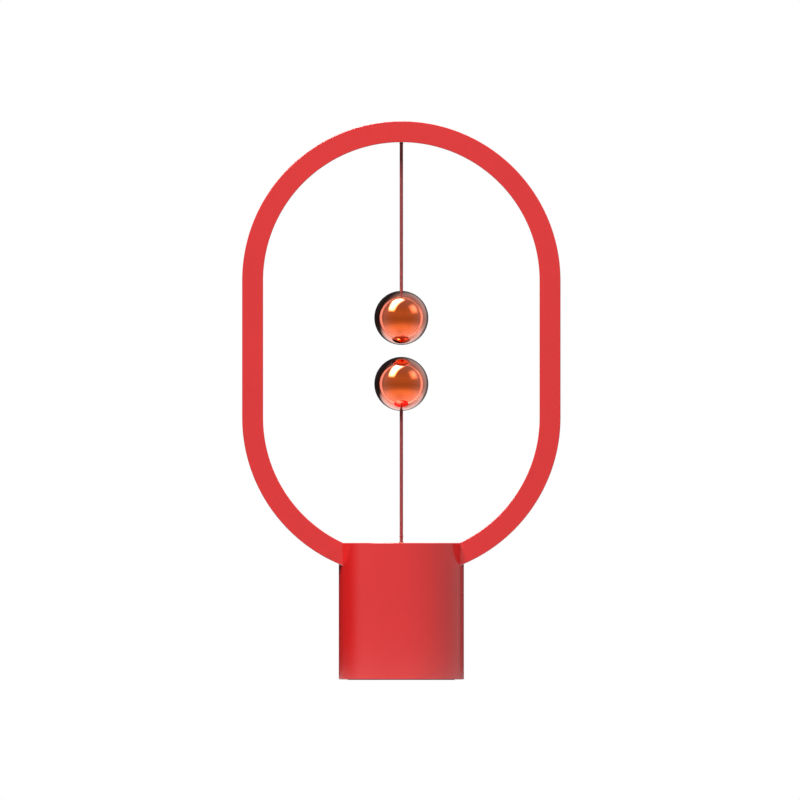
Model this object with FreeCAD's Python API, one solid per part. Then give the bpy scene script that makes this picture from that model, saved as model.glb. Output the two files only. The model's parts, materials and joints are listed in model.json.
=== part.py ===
import FreeCAD, Part
import math
import os

from FreeCAD import Vector

# Magnetic balance lamp: an upright loop with a light strip inside it stands in a round
# base. A ball hangs from the loop's top on a cord, and a second ball is held up below it
# by the magnets in both. Pulling the lower ball up works the switch in the base.
#
# Millimetres. +Z is up, +X runs across the loop, and the front is -Y. The origin is on
# the table, at the middle of the base. An "offset" is a distance outwards from the
# loop's inner face.

# loop
total_height = 250.0
loop_outer_radius = 71.25
loop_sink = 15.15
loop_thickness = 9.4
loop_depth = 19.0
loop_edge_round = 0.5
loop_outer_wall = 1.8
loop_side_wall = 1.8
loop_end_gap = 26.0
loop_end_block = 7.0

# light inside the loop
diffuser_recess = 0.5
diffuser_thickness = 1.5
diffuser_flange_reach = 0.7
diffuser_flange_thickness = 0.8
strip_width = 8.0
strip_thickness = 0.4
led_length = 2.8
led_width = 3.5
led_height = 0.8
led_pitch = 16.7

# base
base_radius = 28.0
base_height = 61.3
base_edge_round = 0.3
base_rim_wall = 2.0
base_upper_wall = 2.8
base_lower_wall = 3.4
cap_thickness = 2.4
cap_post_radius = 2.75
cap_post_inset = 6.0
cover_thickness = 2.8
foot_pad_margin = 2.0
foot_pad_thickness = 1.2
foot_pad_proud = 0.2
weight_margin = 2.6
weight_thickness = 12.0
boss_radius = 3.2
boss_overlap = 0.4
boss_top = 20.0
boss_angles = (30.0, 150.0, 270.0)

# chassis that carries the loop and the switch
chassis_thickness = 2.4
saddle_height = 3.4
saddle_length = 10.2
saddle_width = 15.0
loop_screw_y = 4.5
wire_hole_inset = 4.0
wire_hole_radius = 2.0

# switch
slider_radius = 1.7
slider_travel = 2.0
slider_collar_radius = 4.2
slider_collar_thickness = 1.2
spigot_gap = 2.0
slider_tail_length = 3.2
nose_drop = 0.35
guide_wall = 1.45
clip_radius = 2.9
clip_thickness = 0.6
clip_groove_depth = 0.35
switch_length = 12.8
switch_width = 5.8
switch_height = 5.8
switch_front_y = 5.6
switch_wall_thickness = 2.0
switch_wall_inset = 1.4
switch_screw_spread = 6.8
switch_screw_lift = 2.2
lever_pivot_y = 17.0
lever_contact_y = 5.0
lever_front_y = 4.4
lever_width = 4.0
lever_thickness = 0.3
lever_pin_radius = 0.4
button_y = 12.0
button_length = 2.0
button_width = 1.2
button_depth = 2.6
terminal_pitch = 4.6
terminal_length = 5.5
terminal_width = 2.8
terminal_thickness = 0.5
spring_wire_radius = 0.25
wire_flats = 8
spring_mean_radius = 2.8
spring_turns = 4.0

# cords and balls
cord_radius = 0.75
bend_radius = 0.70
bend_setback = 0.65
ball_radius = 12.1
ball_wall = 1.2
ball_gap = 5.4
upper_cord_length = 66.45
magnet_radius = 6.0
magnet_thickness = 5.0
holder_wall = 1.2
holder_stem_radius = 3.2
cord_stop_radius = 2.0
cord_stop_length = 4.0
spigot_height = 1.5
spigot_wall = 0.7
eyelet_flange_radius = 2.8
eyelet_flange_thickness = 0.5
eyelet_lip_wall = 0.25
eyelet_lip_height = 0.3
eyelet_wall = 0.8
grommet_flange_radius = 2.4
grommet_flange_thickness = 0.4
grommet_wall = 0.7
anchor_length = 9.0
anchor_floor = 2.2
crimp_radius = 2.0
crimp_length = 2.4
lean_clearance = 0.7

# electronics
board_margin = 0.6
board_thickness = 1.6
usb_width = 8.9
usb_height = 3.2
usb_length = 7.4
usb_wall = 0.3
usb_mouth_depth = 1.3
usb_recess_width = 12.6
usb_recess_height = 7.0
usb_back_wall = 1.0
usb_tongue_margin = 1.1
usb_tongue_thickness = 0.7
header_width = 3.4
header_length = 7.0
header_height = 5.0
capacitor_radius = 3.15
capacitor_height = 8.0
inductor_size = 6.6
inductor_height = 4.0
chip_length = 5.0
chip_width = 4.0
chip_height = 1.5
component_row_y = -12.0
wire_radius = 0.5
wire_spacing = 1.2
wire_channel_radius = 1.9

# screws
screw_radius = 1.1
screw_head_radius = 2.0
screw_head_height = 1.2
cover_screw_length = 9.0
board_screw_length = 6.0
chassis_screw_length = 10.0
loop_screw_length = 11.0
switch_screw_radius = 0.9
switch_screw_head_radius = 1.5

# clearances
fit = 0.1
slide_fit = 0.05
screw_clearance = 0.2
shelf_gap = 0.3

# places worked out from the sizes above
loop_inner_radius = loop_outer_radius - loop_thickness
loop_top_centre = total_height - loop_outer_radius
loop_low_centre = base_height - loop_sink + loop_outer_radius
loop_half_depth = loop_depth / 2
loop_inner_top = loop_top_centre + loop_inner_radius
cavity_offset = loop_thickness - loop_outer_wall
cavity_half_depth = loop_half_depth - loop_side_wall
arm_end_x = loop_end_gap / 2
block_end_x = arm_end_x + loop_end_block
loop_screw_x = arm_end_x + loop_end_block / 2
wire_hole_x = arm_end_x - wire_hole_inset
diffuser_back = diffuser_recess + diffuser_thickness
strip_face = cavity_offset - strip_thickness
strip_start_x = anchor_length / 2 + 1
strip_end_x = block_end_x + 1

cap_bottom = base_height - cap_thickness
rim_radius = base_radius - base_rim_wall
upper_radius = base_radius - base_upper_wall
lower_radius = base_radius - base_lower_wall
cover_top = foot_pad_proud + cover_thickness
board_top = boss_top + board_thickness
foot_pad_radius = rim_radius - foot_pad_margin
weight_radius = lower_radius - weight_margin
board_radius = lower_radius - board_margin
boss_circle_radius = lower_radius - boss_radius + boss_overlap
switch_wall_x = switch_width / 2 + slide_fit
switch_middle_y = switch_front_y + switch_length / 2
switch_wall_end_x = switch_wall_x + switch_wall_thickness
cap_post_x = switch_wall_end_x + shelf_gap + cap_post_radius
cap_post_y = math.sqrt((upper_radius - cap_post_inset) ** 2 - cap_post_x ** 2)

arm_end_bottom = loop_low_centre - math.sqrt(loop_outer_radius ** 2 - arm_end_x ** 2)
chassis_top = arm_end_bottom - saddle_height
chassis_bottom = chassis_top - chassis_thickness

switch_top = chassis_top + switch_height
lever_pivot_z = switch_top + lever_thickness / 2 + 2 * fit
lever_reach = lever_pivot_y - lever_contact_y
lever_angle = math.degrees(math.asin(slider_travel / lever_reach))
collar_bottom = lever_pivot_z + slider_travel + lever_thickness / 2 + fit
collar_top = collar_bottom + slider_collar_thickness
guide_top = collar_bottom - slider_travel - slide_fit
slider_bottom = chassis_bottom - slider_tail_length
slider_bore = cord_radius + fit

upper_ball_z = loop_inner_top - upper_cord_length - ball_radius
lower_ball_z = upper_ball_z - 2 * ball_radius - ball_gap
ball_inner_radius = ball_radius - ball_wall
upper_pivot_z = loop_inner_top - grommet_flange_thickness - 2 * fit
lower_pivot_z = base_height + eyelet_lip_height + slider_travel + lean_clearance
eyelet_bore = cord_radius + fit
crimp_bottom = loop_inner_top + diffuser_back + shelf_gap + anchor_floor


def cylinder(radius, bottom, top, x=0.0, y=0.0):
    """Upright cylinder between two heights."""
    return Part.makeCylinder(radius, top - bottom, Vector(x, y, bottom))


def tube(outer, inner, bottom, top, x=0.0, y=0.0):
    """Upright tube between two heights."""
    return cylinder(outer, bottom, top, x, y).cut(cylinder(inner, bottom, top, x, y))


def block(x0, x1, y0, y1, z0, z1):
    """Box between two corners."""
    return Part.makeBox(x1 - x0, y1 - y0, z1 - z0, Vector(x0, y0, z0))


def rod(start, end, radius):
    """Cylinder from one point to another."""
    return Part.makeCylinder(radius, (end - start).Length, start, end - start)


def join(first, *others):
    """One clean solid from pieces that touch or overlap."""
    return first.fuse(list(others)).removeSplitter()


def mirrored(shape):
    """Shape on the other side of the loop."""
    return shape.mirror(Vector(0, 0, 0), Vector(1, 0, 0))


def stadium(radius, front, back):
    """Prism on the loop's outline at one radius, two half circles and two straights."""
    left_top = Vector(-radius, front, loop_top_centre)
    right_top = Vector(radius, front, loop_top_centre)
    left_low = Vector(-radius, front, loop_low_centre)
    right_low = Vector(radius, front, loop_low_centre)
    crown = Vector(0, front, loop_top_centre + radius)
    keel = Vector(0, front, loop_low_centre - radius)
    edges = [
        Part.Arc(left_top, crown, right_top).toShape(),
        Part.LineSegment(right_top, right_low).toShape(),
        Part.Arc(right_low, keel, left_low).toShape(),
        Part.LineSegment(left_low, left_top).toShape(),
    ]
    return Part.Face(Part.Wire(edges)).extrude(Vector(0, back - front, 0))


def loop_band(inner_offset, outer_offset, half_depth):
    """Band that follows the loop between two offsets from its inner face."""
    outer = stadium(loop_inner_radius + outer_offset, -half_depth, half_depth)
    inner = stadium(loop_inner_radius + inner_offset, -half_depth, half_depth)
    return outer.cut(inner)


def low_gap(half_width):
    """Block that opens the bottom of a band, inside the base."""
    return block(-half_width, half_width, -loop_depth, loop_depth, 0, loop_low_centre)


def loop_passage():
    """Room that the base leaves for the loop's two arms."""
    return loop_band(-fit, loop_thickness + fit, loop_half_depth + fit)


def arm_height(x, offset):
    """Height of the loop's lower arc at a given x and offset."""
    return loop_low_centre - math.sqrt((loop_inner_radius + offset) ** 2 - x ** 2)


def screw(length, radius=screw_radius, head=screw_head_radius):
    """Screw with its head under the origin and its shank pointing up."""
    shank = cylinder(radius, 0, length)
    return join(shank, cylinder(head, -screw_head_height, 0))


def placed(shape, position, axis=Vector(0, 0, 1)):
    """Copy of a shape made along +Z, turned to an axis and moved to a position."""
    turned = shape.copy()
    turned.Placement = FreeCAD.Placement(position, FreeCAD.Rotation(Vector(0, 0, 1), axis))
    return turned


def boss_places():
    """Centres of the bosses that hold the bottom cover and the board."""
    for angle in boss_angles:
        turn = math.radians(angle)
        yield boss_circle_radius * math.cos(turn), boss_circle_radius * math.sin(turn)


def cap_post_places():
    """Centres of the posts that tie the cap to the chassis."""
    return [(x, y) for x in (-cap_post_x, cap_post_x) for y in (-cap_post_y, cap_post_y)]


def loop_screw_places():
    """Centres of the screws that hold the loop's arms."""
    return [(x, y) for x in (-loop_screw_x, loop_screw_x) for y in (-loop_screw_y, loop_screw_y)]


def rounded_path(points):
    """Straight runs joined by tangent arcs, each as large as its two runs allow."""
    edges = []
    start = points[0]
    for before, corner, after in zip(points, points[1:], points[2:]):
        way_in = (corner - before).normalize()
        way_out = (after - corner).normalize()
        half_turn = way_in.getAngle(way_out) / 2
        reach = 0.45 * min((corner - before).Length, (after - corner).Length)
        radius = reach / math.tan(half_turn)
        arc_start = corner - way_in * reach
        arc_end = corner + way_out * reach
        bisector = (way_out - way_in).normalize()
        centre = corner + bisector * (radius / math.cos(half_turn))
        middle = centre - bisector * radius
        edges.append(Part.LineSegment(start, arc_start).toShape())
        edges.append(Part.Arc(arc_start, middle, arc_end).toShape())
        print("wire bend radius", round(radius, 2))
        start = arc_end
    edges.append(Part.LineSegment(start, points[-1]).toShape())
    return Part.Wire(edges)


def wire(points, radius):
    """Round wire along a path of runs and arcs."""
    path = rounded_path(points)
    direction = points[1] - points[0]
    section = Part.Wire(Part.Circle(points[0], direction, radius).toShape())
    return path.makePipeShell([section], True, False)


# ---- loop ----

def frame_blank():
    """Whole loop as one bar with its four long edges rounded."""
    bar = loop_band(0, loop_thickness, loop_half_depth)
    rims = [
        edge for edge in bar.Edges
        if all(abs(abs(vertex.Y) - loop_half_depth) < 1e-6 for vertex in edge.Vertexes)
    ]
    return bar.makeFillet(loop_edge_round, rims)


def frame_hollow():
    """Space inside the loop: the light chamber, the diffuser's grooves and screw holes."""
    chamber = loop_band(-1, cavity_offset, cavity_half_depth)
    groove_half = cavity_half_depth + diffuser_flange_reach + fit
    groove_start = diffuser_back - diffuser_flange_thickness - fit
    chamber = chamber.fuse(loop_band(groove_start, diffuser_back + fit, groove_half))
    chamber = chamber.cut(low_gap(block_end_x))
    tools = [chamber, low_gap(arm_end_x)]
    for side in (-1, 1):
        inner = Vector(side * arm_end_x, 0, arm_height(arm_end_x, loop_thickness / 2))
        outer = Vector(side * block_end_x, 0, arm_height(block_end_x, loop_thickness / 2))
        spare = (outer - inner).normalize()
        tools.append(rod(inner - spare, outer + spare, wire_channel_radius))
    for x, y in loop_screw_places():
        tools.append(cylinder(screw_radius, 0, chassis_bottom + loop_screw_length + fit, x, y))
    return tools


def frame_shell(front):
    """Front or rear half of the loop's casing."""
    y0, y1 = (-loop_depth, 0) if front else (0, loop_depth)
    half = block(-total_height, total_height, y0, y1, 0, total_height + 1)
    return frame_blank().common(half).cut(frame_hollow())


def diffuser():
    """Milky strip that closes the light chamber, held by a flange in both casing halves."""
    face = loop_band(diffuser_recess, diffuser_back, cavity_half_depth - fit)
    flange_start = diffuser_back - diffuser_flange_thickness
    flange = loop_band(flange_start, diffuser_back, cavity_half_depth + diffuser_flange_reach)
    hole_radius = cord_radius + fit + grommet_wall + fit
    hole = cylinder(hole_radius, loop_inner_top - 1, total_height)
    return join(face, flange).cut(low_gap(block_end_x + shelf_gap)).cut(hole)


def led_strip():
    """Flexible light strip in the right half of the loop, on the outer wall."""
    band = loop_band(strip_face, cavity_offset, strip_width / 2)
    half = block(strip_start_x, total_height, -loop_depth, loop_depth, 0, total_height)
    return band.common(half).cut(low_gap(strip_end_x))


def strip_station(distance):
    """Centre of the bend and direction outwards, at a distance along the right half."""
    quarter = loop_inner_radius * math.pi / 2
    straight = loop_top_centre - loop_low_centre
    if distance < quarter:
        angle = distance / loop_inner_radius
        height = loop_top_centre
    elif distance < quarter + straight:
        angle = math.pi / 2
        height = loop_top_centre - (distance - quarter)
    else:
        angle = (distance - straight) / loop_inner_radius
        height = loop_low_centre
    return Vector(0, 0, height), Vector(math.sin(angle), 0, math.cos(angle))


def leds():
    """Light-emitting packages on the right strip, one solid each."""
    half_turn = math.pi - math.asin((strip_end_x + led_length) / loop_inner_radius)
    length = loop_top_centre - loop_low_centre + loop_inner_radius * half_turn
    first = strip_start_x + led_length
    packages = []
    for number in range(int((length - first) / led_pitch) + 1):
        centre, outward = strip_station(first + number * led_pitch)
        seat = centre + outward * (loop_inner_radius + strip_face - slide_fit)
        package = block(-led_length / 2, led_length / 2, -led_width / 2, led_width / 2, -led_height, 0)
        packages.append(placed(package, seat, outward))
    return Part.makeCompound(packages)


def led_leads():
    """Pair of wires from the right strip down to its plug on the board."""
    plug_top = board_top + header_height
    pair = []
    for y in (-wire_spacing / 2, wire_spacing / 2):
        strip_x = block_end_x + 1.5
        points = [
            Vector(strip_x, y, arm_height(strip_x, loop_thickness / 2)),
            Vector(arm_end_x, y, arm_height(arm_end_x, loop_thickness / 2)),
            Vector(wire_hole_x, y, chassis_top + 3 * wire_radius),
            Vector(wire_hole_x, y, plug_top),
        ]
        pair.append(wire(points, wire_radius))
    return Part.makeCompound(pair)


# ---- upper cord's fastening in the loop ----

def upper_cord_anchor():
    """Block inside the loop's top that the cord's crimp hangs on."""
    half_length = anchor_length / 2
    half_width = cavity_half_depth - fit
    body = block(-half_length, half_length, -half_width, half_width, loop_top_centre, total_height)
    body = body.common(loop_band(diffuser_back + shelf_gap, cavity_offset - fit, loop_depth))
    body = body.cut(cylinder(slider_bore, loop_top_centre, total_height))
    return body.cut(cylinder(crimp_radius + fit, crimp_bottom, total_height))


def upper_cord_crimp():
    """Ferrule squeezed on the cord's end, resting in the anchor's pocket."""
    return tube(crimp_radius, cord_radius, crimp_bottom, crimp_bottom + crimp_length)


def upper_cord_tail():
    """Fixed end of the upper cord, from the crimp to the mouth of the grommet."""
    body = cylinder(cord_radius, upper_pivot_z + bend_setback, crimp_bottom + crimp_length)
    return body.cut(bend_pocket(upper_pivot_z))


def upper_cord_grommet():
    """Bush in the diffuser that the cord comes out of."""
    seat = loop_inner_top + diffuser_recess - fit
    bottom = seat - grommet_flange_thickness
    barrel_radius = cord_radius + fit + grommet_wall
    flange = cylinder(grommet_flange_radius, bottom, seat)
    barrel = cylinder(barrel_radius, bottom, loop_inner_top + diffuser_back + fit)
    return join(flange, barrel).cut(cylinder(cord_radius + fit, bottom, total_height))


def bend_pocket(height):
    """Ball-shaped hollow in a cord's end, round the point where the cord bends."""
    return Part.makeSphere(bend_radius + slide_fit, Vector(0, 0, height))


def cord_bend(height):
    """Short round stretch of cord at the point where it bends."""
    return Part.makeSphere(bend_radius, Vector(0, 0, height))


# ---- balls: made round the origin with the cord leaving upwards ----

def ball_cord_shell():
    """Plated half with the cord's hole."""
    shell = Part.makeSphere(ball_radius).cut(Part.makeSphere(ball_inner_radius))
    upper = cylinder(2 * ball_radius, 0, 2 * ball_radius)
    return shell.common(upper).cut(cylinder(slider_bore, 0, 2 * ball_radius))


def ball_magnet_shell():
    """Plated half over the magnet, with a spigot that centres the other half."""
    shell = Part.makeSphere(ball_radius).cut(Part.makeSphere(ball_inner_radius))
    lower = shell.common(cylinder(2 * ball_radius, -2 * ball_radius, 0))
    outer = math.sqrt(ball_inner_radius ** 2 - spigot_height ** 2) - slide_fit
    ring = tube(outer, outer - spigot_wall, -spigot_height, spigot_height)
    inside = Part.makeSphere(ball_inner_radius)
    root = cylinder(2 * ball_radius, -2 * ball_radius, 0).cut(inside)
    web = tube(ball_inner_radius + ball_wall / 2, outer - spigot_wall, -spigot_height, 0)
    return join(lower, ring.cut(root), web)


def magnet_bottom():
    """Lowest height of the magnet above the shell it faces."""
    return -math.sqrt(ball_inner_radius ** 2 - magnet_radius ** 2) + shelf_gap


def ball_magnet():
    """Disc magnet at the pole that faces the other ball."""
    bottom = magnet_bottom()
    return cylinder(magnet_radius, bottom, bottom + magnet_thickness)


def ball_magnet_holder():
    """Moulded cup for the magnet with a stem that holds the cord's stop."""
    outer = magnet_radius + slide_fit + holder_wall
    bottom = -math.sqrt(ball_inner_radius ** 2 - outer ** 2) + fit
    floor = magnet_bottom() + magnet_thickness
    stem_top = math.sqrt(ball_inner_radius ** 2 - holder_stem_radius ** 2) - fit
    cup = tube(outer, magnet_radius + slide_fit, bottom, floor)
    web = cylinder(outer, floor, floor + holder_wall)
    stem = cylinder(holder_stem_radius, floor, stem_top)
    pocket = cylinder(cord_stop_radius + slide_fit, floor + holder_wall, stem_top)
    return join(cup, web, stem).cut(pocket)


def cord_stop_top():
    """Height of the stop's top, under the shell's inner face."""
    return math.sqrt(ball_inner_radius ** 2 - holder_stem_radius ** 2) - fit


def ball_cord_stop():
    """Ferrule squeezed on the cord inside the ball."""
    top = cord_stop_top()
    return tube(cord_stop_radius, cord_radius, top - cord_stop_length, top)


def hanging_cord(pivot, ball_z, side):
    """Cord from its bend to the stop inside a ball. The side is +1 with the ball below."""
    end = ball_z + side * (cord_stop_top() - cord_stop_length)
    start = pivot - side * bend_setback
    body = cylinder(cord_radius, min(start, end), max(start, end))
    return body.cut(bend_pocket(pivot))


def ball_pieces(name, ball_z, turned):
    """The solids of one ball, by node name."""
    cord_half, magnet_half = ("bottom", "top") if turned else ("top", "bottom")
    pieces = {
        name + "_ball_" + cord_half + "_shell": ball_cord_shell(),
        name + "_ball_" + magnet_half + "_shell": ball_magnet_shell(),
        name + "_magnet": ball_magnet(),
        name + "_magnet_holder": ball_magnet_holder(),
        name + "_cord_stop": ball_cord_stop(),
    }
    for shape in pieces.values():
        if turned:
            shape.rotate(Vector(0, 0, 0), Vector(1, 0, 0), 180)
        shape.translate(Vector(0, 0, ball_z))
    return pieces


# ---- base ----

def base_body():
    """Round wall of the base, with ledges for the cap, the chassis and the cover."""
    wall = cylinder(base_radius, foot_pad_proud, base_height)
    ends = [edge for edge in wall.Edges if edge.Closed]
    wall = wall.makeFillet(base_edge_round, ends)
    wall = wall.cut(cylinder(rim_radius, cap_bottom, base_height))
    wall = wall.cut(cylinder(upper_radius, chassis_bottom, cap_bottom))
    wall = wall.cut(cylinder(lower_radius, cover_top, chassis_bottom))
    wall = wall.cut(cylinder(rim_radius, foot_pad_proud, cover_top))
    for x, y in boss_places():
        boss = cylinder(boss_radius, cover_top, boss_top, x, y)
        boss = boss.common(cylinder(lower_radius + base_lower_wall / 2, 0, base_height))
        wall = wall.fuse(boss)
    for x, y in boss_places():
        low_hole = cylinder(screw_radius, 0, foot_pad_proud + cover_screw_length + fit, x, y)
        top_hole = cylinder(screw_radius, board_top - board_screw_length - fit, base_height, x, y)
        wall = wall.cut([low_hole, top_hole])
    wall = wall.cut(loop_passage())
    return wall.cut([usb_opening(), usb_recess()]).removeSplitter()


def rounded_bar(width, height, y0, y1, centre_z):
    """Bar along Y with a flat oval section, as a small reversible socket has."""
    radius = height / 2
    half = width / 2 - radius
    middle = block(-half, half, y0, y1, centre_z - radius, centre_z + radius)
    ends = [
        rod(Vector(x, y0, centre_z), Vector(x, y1, centre_z), radius) for x in (-half, half)
    ]
    return join(middle, *ends)


def usb_centre():
    """Height of the socket's middle above the table."""
    return board_top + usb_height / 2


def usb_opening():
    """Hole in the wall that the socket's mouth sits in."""
    spare = 2 * shelf_gap
    width = usb_width + spare
    return rounded_bar(width, usb_height + spare, boss_circle_radius, base_radius, usb_centre())


def usb_recess():
    """Pocket outside the socket for the plug's grip."""
    floor = base_radius - usb_mouth_depth + fit
    return rounded_bar(usb_recess_width, usb_recess_height, floor, 2 * base_radius, usb_centre())


def base_top_cap():
    """Lid of the base with four posts that the chassis screws into."""
    lid = cylinder(rim_radius - fit, cap_bottom, base_height)
    posts = [cylinder(cap_post_radius, chassis_top, cap_bottom, x, y) for x, y in cap_post_places()]
    lid = join(lid, *posts)
    pilot_top = chassis_bottom + chassis_screw_length + fit
    for x, y in cap_post_places():
        lid = lid.cut(cylinder(screw_radius, chassis_top, pilot_top, x, y))
    lid = lid.cut(cylinder(eyelet_bore + eyelet_wall + slide_fit, 0, total_height))
    seat = base_height - eyelet_flange_thickness
    lid = lid.cut(cylinder(eyelet_flange_radius + slide_fit, seat, total_height))
    return lid.cut(loop_passage())


def cord_eyelet():
    """Turned eyelet let into the lid, with a fine lip round the lower cord."""
    barrel_radius = eyelet_bore + eyelet_wall
    flange = cylinder(eyelet_flange_radius, base_height - eyelet_flange_thickness, base_height)
    lip = cylinder(eyelet_bore + eyelet_lip_wall, base_height, base_height + eyelet_lip_height)
    barrel = cylinder(barrel_radius, cap_bottom - eyelet_flange_thickness, base_height)
    rolled = cylinder(barrel_radius + 3 * fit, cap_bottom - eyelet_flange_thickness, cap_bottom)
    return join(flange, lip, barrel, rolled).cut(cylinder(eyelet_bore, 0, total_height))


def bottom_cover():
    """Plate that closes the base from below, with a recess for the foot pad."""
    plate = cylinder(rim_radius - fit, foot_pad_proud, cover_top)
    plate = plate.cut(cylinder(foot_pad_radius + fit, 0, foot_pad_thickness))
    for x, y in boss_places():
        plate = plate.cut(cylinder(screw_radius + screw_clearance, 0, cover_top, x, y))
        head_room = foot_pad_thickness + screw_head_height
        plate = plate.cut(cylinder(screw_head_radius + screw_clearance, 0, head_room, x, y))
    return plate


def foot_pad():
    """Soft disc that the lamp stands on."""
    return cylinder(foot_pad_radius, 0, foot_pad_thickness)


def counterweight():
    """Steel disc that keeps the lamp upright, notched round the bosses."""
    disc = cylinder(weight_radius, cover_top, cover_top + weight_thickness)
    for x, y in boss_places():
        disc = disc.cut(cylinder(boss_radius + shelf_gap, 0, base_height, x, y))
    return disc


def chassis():
    """Moulded carrier: floor, saddles for the loop's arms, slider guide and switch wall."""
    spigot = cylinder(upper_radius - fit, chassis_bottom, chassis_top)
    saddle_start = arm_end_x + shelf_gap
    saddle_top = arm_height(saddle_start + saddle_length, loop_thickness)
    saddle = block(saddle_start, saddle_start + saddle_length,
                   -saddle_width / 2, saddle_width / 2, chassis_top, saddle_top)
    saddle = saddle.common(cylinder(upper_radius - fit, 0, base_height))
    saddle = saddle.cut(stadium(loop_outer_radius, -loop_depth, loop_depth))
    guide = cylinder(slider_radius + slide_fit + guide_wall, chassis_top, guide_top)
    wall_front = switch_front_y + switch_wall_inset
    wall_back = switch_front_y + switch_length - switch_wall_inset
    wall = block(switch_wall_x, switch_wall_end_x, wall_front, wall_back, chassis_top, switch_top)
    body = join(spigot, saddle, mirrored(saddle), guide, wall)
    holes = [cylinder(slider_radius + slide_fit, 0, base_height)]
    for side in (-1, 1):
        holes.append(cylinder(wire_hole_radius, 0, base_height, side * wire_hole_x, 0))
    for x, y in cap_post_places() + loop_screw_places():
        holes.append(cylinder(screw_radius + screw_clearance, 0, base_height, x, y))
    for y in terminal_places():
        half_x = terminal_thickness / 2 + shelf_gap
        half_y = terminal_width / 2 + shelf_gap
        holes.append(block(-half_x, half_x, y - half_y, y + half_y, 0, chassis_top))
    for y in switch_screw_places():
        holes.append(switch_screw_hole(y, switch_screw_radius))
    return body.cut(holes)


# ---- switch ----

def switch_screw_places():
    """Distances behind the slider of the switch's two screws."""
    return switch_middle_y - switch_screw_spread / 2, switch_middle_y + switch_screw_spread / 2


def switch_screw_hole(y, radius):
    """Hole across the switch and its wall."""
    height = chassis_top + switch_screw_lift
    return rod(Vector(-switch_width, y, height), Vector(switch_wall_end_x, y, height), radius)


def terminal_places():
    """Distances behind the slider of the switch's three terminals."""
    return switch_middle_y - terminal_pitch, switch_middle_y, switch_middle_y + terminal_pitch


def micro_switch_body():
    """Casing of the small snap switch, with ears for its lever."""
    half = switch_width / 2
    body = block(-half, half, switch_front_y, switch_front_y + switch_length, chassis_top, switch_top)
    ear_start = lever_width / 2 + fit
    ears = [
        block(x0, x1, lever_pivot_y - 1, lever_pivot_y + 1, switch_top, lever_pivot_z + 1)
        for x0, x1 in ((-half, -ear_start), (ear_start, half))
    ]
    body = join(body, *ears)
    pin_hole = rod(Vector(-half, lever_pivot_y, lever_pivot_z), Vector(half, lever_pivot_y, lever_pivot_z),
                   lever_pin_radius + slide_fit)
    half_x = button_width / 2 + slide_fit
    half_y = button_length / 2 + slide_fit
    slot_bottom = switch_top - button_depth - 2 * button_travel()
    slot = block(-half_x, half_x, button_y - half_y, button_y + half_y, slot_bottom, switch_top)
    screws = [switch_screw_hole(y, switch_screw_radius + fit) for y in switch_screw_places()]
    return body.cut([pin_hole, slot] + screws)


def micro_switch_terminals():
    """Three solder blades below the switch."""
    half_x = terminal_thickness / 2
    half_y = terminal_width / 2
    blades = [
        block(-half_x, half_x, y - half_y, y + half_y, chassis_top - terminal_length, chassis_top)
        for y in terminal_places()
    ]
    return Part.makeCompound(blades)


def button_travel():
    """How far the lever pushes the button while the slider moves through its travel."""
    return slider_travel * (lever_pivot_y - button_y) / lever_reach


def micro_switch_button():
    """Plunger with a round top under the lever, standing up while the slider is up."""
    half_x = button_width / 2
    round_radius = button_length / 2
    round_z = lever_pivot_z - lever_thickness / 2 - slide_fit + button_travel() - round_radius
    stem = block(-half_x, half_x, button_y - round_radius, button_y + round_radius,
                 switch_top - button_depth, round_z)
    crown = rod(Vector(-half_x, button_y, round_z), Vector(half_x, button_y, round_z), round_radius)
    return join(stem, crown)


def micro_switch_lever():
    """Spring-steel lever that the slider's nose presses, with its pivot pin."""
    half = lever_width / 2
    thickness = lever_thickness / 2
    blade = block(-half, half, lever_front_y, lever_pivot_y, lever_pivot_z - thickness, lever_pivot_z + thickness)
    pin_half = switch_width / 2
    pin = rod(Vector(-pin_half, lever_pivot_y, lever_pivot_z), Vector(pin_half, lever_pivot_y, lever_pivot_z),
              lever_pin_radius)
    lever = join(blade, pin)
    lever.rotate(Vector(0, lever_pivot_y, lever_pivot_z), Vector(1, 0, 0), -lever_angle)
    return lever


def switch_slider():
    """Slider that the lower cord pulls up, with a nose over the switch's lever."""
    stem = cylinder(slider_radius, slider_bottom, collar_bottom)
    collar = cylinder(slider_collar_radius, collar_bottom, collar_top)
    spigot = cylinder(slider_radius, collar_top, cap_bottom - eyelet_flange_thickness - spigot_gap)
    nose_radius = slider_collar_thickness / 2
    half = lever_width / 2
    arm = block(-half, half, 0, lever_contact_y, collar_bottom + nose_drop, collar_top)
    nose_z = collar_bottom + nose_radius
    nose = rod(Vector(-half, lever_contact_y, nose_z), Vector(half, lever_contact_y, nose_z), nose_radius)
    body = join(stem, collar, spigot, arm, nose)
    groove_top = chassis_bottom - fit + slide_fit
    groove_bottom = groove_top - clip_thickness - 2 * slide_fit
    groove = tube(slider_radius + 1, slider_radius - clip_groove_depth, groove_bottom, groove_top)
    bore = cylinder(slider_bore, 0, base_height)
    return body.cut([groove, bore])


def slider_clip():
    """Retaining ring that stops the slider at the top of its travel."""
    top = chassis_bottom - fit
    ring = tube(clip_radius, slider_radius - clip_groove_depth + slide_fit, top - clip_thickness, top)
    mouth = block(-slider_radius * 0.7, slider_radius * 0.7, -2 * clip_radius, 0, 0, base_height)
    return ring.cut(mouth)


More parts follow.
